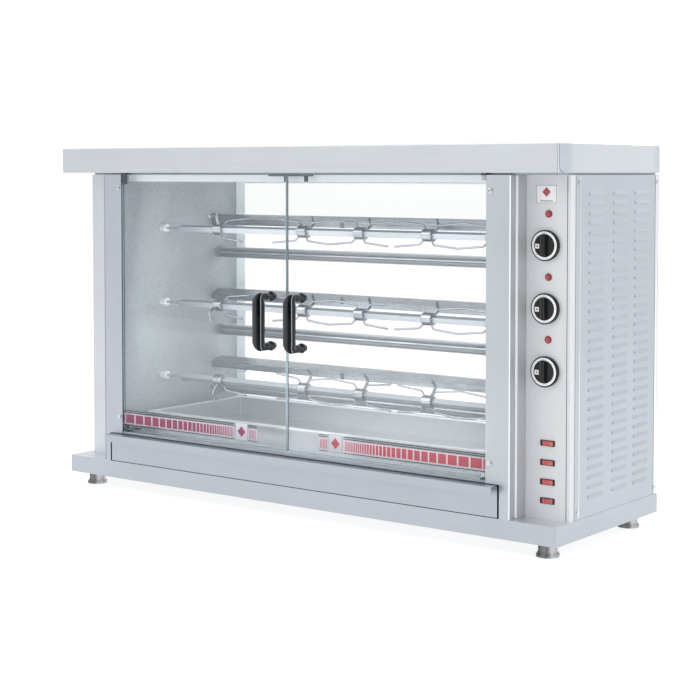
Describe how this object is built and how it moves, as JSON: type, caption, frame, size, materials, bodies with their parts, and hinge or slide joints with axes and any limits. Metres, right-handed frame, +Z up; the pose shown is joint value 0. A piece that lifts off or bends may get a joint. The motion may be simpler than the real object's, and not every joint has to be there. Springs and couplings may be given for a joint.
{
  "type": "rotisserie broiler",
  "caption": "Counter-top electric rotisserie oven with horizontal spits stacked upright, glass double doors, fat drawer, side control column, louvred side panel and rear window.",
  "frame": {"origin": "middle of the whole footprint, handles included, on the surface that the feet stand on", "axes": "+Z up, +X to the right seen from the front, -Y out of the glass doors"},
  "size_m": [1.284, 0.45, 0.758],
  "materials": {
    "outer_sheet": "fine satin brushed stainless",
    "inner_sheet": "mottled matt stainless",
    "reflector": "bright annealed stainless",
    "bright_steel": "polished stainless",
    "element": "heat-tinted metal sheath",
    "clear_glass": "clear toughened glass",
    "black_handle": "gloss black moulding",
    "black_plastic": "satin black moulding",
    "dial_face": "black dial with a white ring",
    "badge": "plain white plate",
    "red_lens": "translucent red",
    "motor_paint": "grey enamel",
    "ceramic": "glazed",
    "lamp": "white"
  },
  "bodies": {
    "cabinet": {"base_plinth": "outer_sheet", "canopy_shell": "outer_sheet", "left_column_cover": "outer_sheet", "control_panel": "outer_sheet", "louvred_side_panel": "outer_sheet", "left_door_post": "outer_sheet", "right_door_post": "outer_sheet", "rear_window_frame": "outer_sheet", "base_bottom_cover": "inner_sheet", "chamber_ceiling": "inner_sheet", "chamber_left_wall": "inner_sheet", "chamber_right_wall": "inner_sheet", "chamber_floor": "inner_sheet", "drawer_runners": "inner_sheet", "element_roof_covers": "reflector", "element_channels": "reflector", "door_pivot_brackets": "bright_steel", "spit_bearings": "bright_steel", "sheet_screws": "bright_steel", "heating_elements": "element", "rear_window_glass": "clear_glass", "rocker_frames": "black_plastic", "cable_gland": "black_plastic", "energy_regulators": "black_plastic", "door_catch": "black_plastic", "dial_plates": "dial_face", "badge_plate": "badge", "pilot_lamps": "red_lens", "spit_gearmotors": "motor_paint", "terminal_block": "ceramic", "chamber_lamp": "lamp"},
    "left_door": {"left_door_glass": "clear_glass", "left_door_handle": "black_handle", "left_door_pivot_shoes": "bright_steel"},
    "right_door": {"right_door_glass": "clear_glass", "right_door_handle": "black_handle", "right_door_pivot_shoes": "bright_steel"},
    "drawer": {"drawer_front": "outer_sheet", "drawer_tray": "inner_sheet"},
    "drip_pan": {"drip_pan": "inner_sheet"},
    "spit_1": {"spit_1_bar": "bright_steel", "spit_1_forks": "bright_steel", "spit_1_socket": "bright_steel"},
    "spit_2": {"spit_2_bar": "bright_steel", "spit_2_forks": "bright_steel", "spit_2_socket": "bright_steel"},
    "spit_3": {"spit_3_bar": "bright_steel", "spit_3_forks": "bright_steel", "spit_3_socket": "bright_steel"},
    "heat_knob_1": {"heat_knob_1": "black_handle"},
    "heat_knob_2": {"heat_knob_2": "black_handle"},
    "heat_knob_3": {"heat_knob_3": "black_handle"},
    "rocker_1": {"rocker_switch_1": "red_lens"},
    "rocker_2": {"rocker_switch_2": "red_lens"},
    "rocker_3": {"rocker_switch_3": "red_lens"},
    "rocker_4": {"rocker_switch_4": "red_lens"},
    "foot_1": {"levelling_foot_1": "bright_steel"},
    "foot_2": {"levelling_foot_2": "bright_steel"},
    "foot_3": {"levelling_foot_3": "bright_steel"},
    "foot_4": {"levelling_foot_4": "bright_steel"}
  },
  "joints": [
    {"name": "left_door_swing", "type": "hinge", "parent": "cabinet", "child": "left_door", "pos_m": [-0.4495, -0.1695, 0.4], "axis": [0, 0, -1], "range_deg": [0, 110]},
    {"name": "right_door_swing", "type": "hinge", "parent": "cabinet", "child": "right_door", "pos_m": [0.483, -0.1695, 0.4], "axis": [0, 0, 1], "range_deg": [0, 110]},
    {"name": "drawer_slide", "type": "slide", "parent": "cabinet", "child": "drawer", "axis": [0, -1, 0], "range_m": [0, 0.28]},
    {"name": "drip_pan_lift", "type": "slide", "parent": "cabinet", "child": "drip_pan", "axis": [0, 0, 1], "range_m": [0, 0.012]},
    {"name": "spit_1_turn", "type": "hinge", "parent": "cabinet", "child": "spit_1", "pos_m": [0, -0.045, 0.58], "axis": [1, 0, 0], "continuous": true},
    {"name": "spit_2_turn", "type": "hinge", "parent": "cabinet", "child": "spit_2", "pos_m": [0, -0.045, 0.413], "axis": [1, 0, 0], "continuous": true},
    {"name": "spit_3_turn", "type": "hinge", "parent": "cabinet", "child": "spit_3", "pos_m": [0, -0.045, 0.247], "axis": [1, 0, 0], "continuous": true},
    {"name": "heat_knob_1_turn", "type": "hinge", "parent": "cabinet", "child": "heat_knob_1", "pos_m": [0.589, -0.125, 0.571], "axis": [0, 1, 0], "range_deg": [0, 270]},
    {"name": "heat_knob_2_turn", "type": "hinge", "parent": "cabinet", "child": "heat_knob_2", "pos_m": [0.589, -0.125, 0.455], "axis": [0, 1, 0], "range_deg": [0, 270]},
    {"name": "heat_knob_3_turn", "type": "hinge", "parent": "cabinet", "child": "heat_knob_3", "pos_m": [0.589, -0.125, 0.339], "axis": [0, 1, 0], "range_deg": [0, 270]},
    {"name": "rocker_1_tilt", "type": "hinge", "parent": "cabinet", "child": "rocker_1", "pos_m": [0.594, -0.125, 0.207], "axis": [0, 0, 1], "range_deg": [0, 16]},
    {"name": "rocker_2_tilt", "type": "hinge", "parent": "cabinet", "child": "rocker_2", "pos_m": [0.594, -0.125, 0.171], "axis": [0, 0, 1], "range_deg": [0, 16]},
    {"name": "rocker_3_tilt", "type": "hinge", "parent": "cabinet", "child": "rocker_3", "pos_m": [0.594, -0.125, 0.135], "axis": [0, 0, 1], "range_deg": [0, 16]},
    {"name": "rocker_4_tilt", "type": "hinge", "parent": "cabinet", "child": "rocker_4", "pos_m": [0.594, -0.125, 0.1], "axis": [0, 0, 1], "range_deg": [0, 16]},
    {"name": "foot_1_turn", "type": "hinge", "parent": "cabinet", "child": "foot_1", "pos_m": [-0.579, -0.133, 0.014], "axis": [0, 0, 1], "continuous": true},
    {"name": "foot_2_turn", "type": "hinge", "parent": "cabinet", "child": "foot_2", "pos_m": [0.6, -0.133, 0.014], "axis": [0, 0, 1], "continuous": true},
    {"name": "foot_3_turn", "type": "hinge", "parent": "cabinet", "child": "foot_3", "pos_m": [-0.579, 0.183, 0.014], "axis": [0, 0, 1], "continuous": true},
    {"name": "foot_4_turn", "type": "hinge", "parent": "cabinet", "child": "foot_4", "pos_m": [0.6, 0.183, 0.014], "axis": [0, 0, 1], "continuous": true}
  ]
}
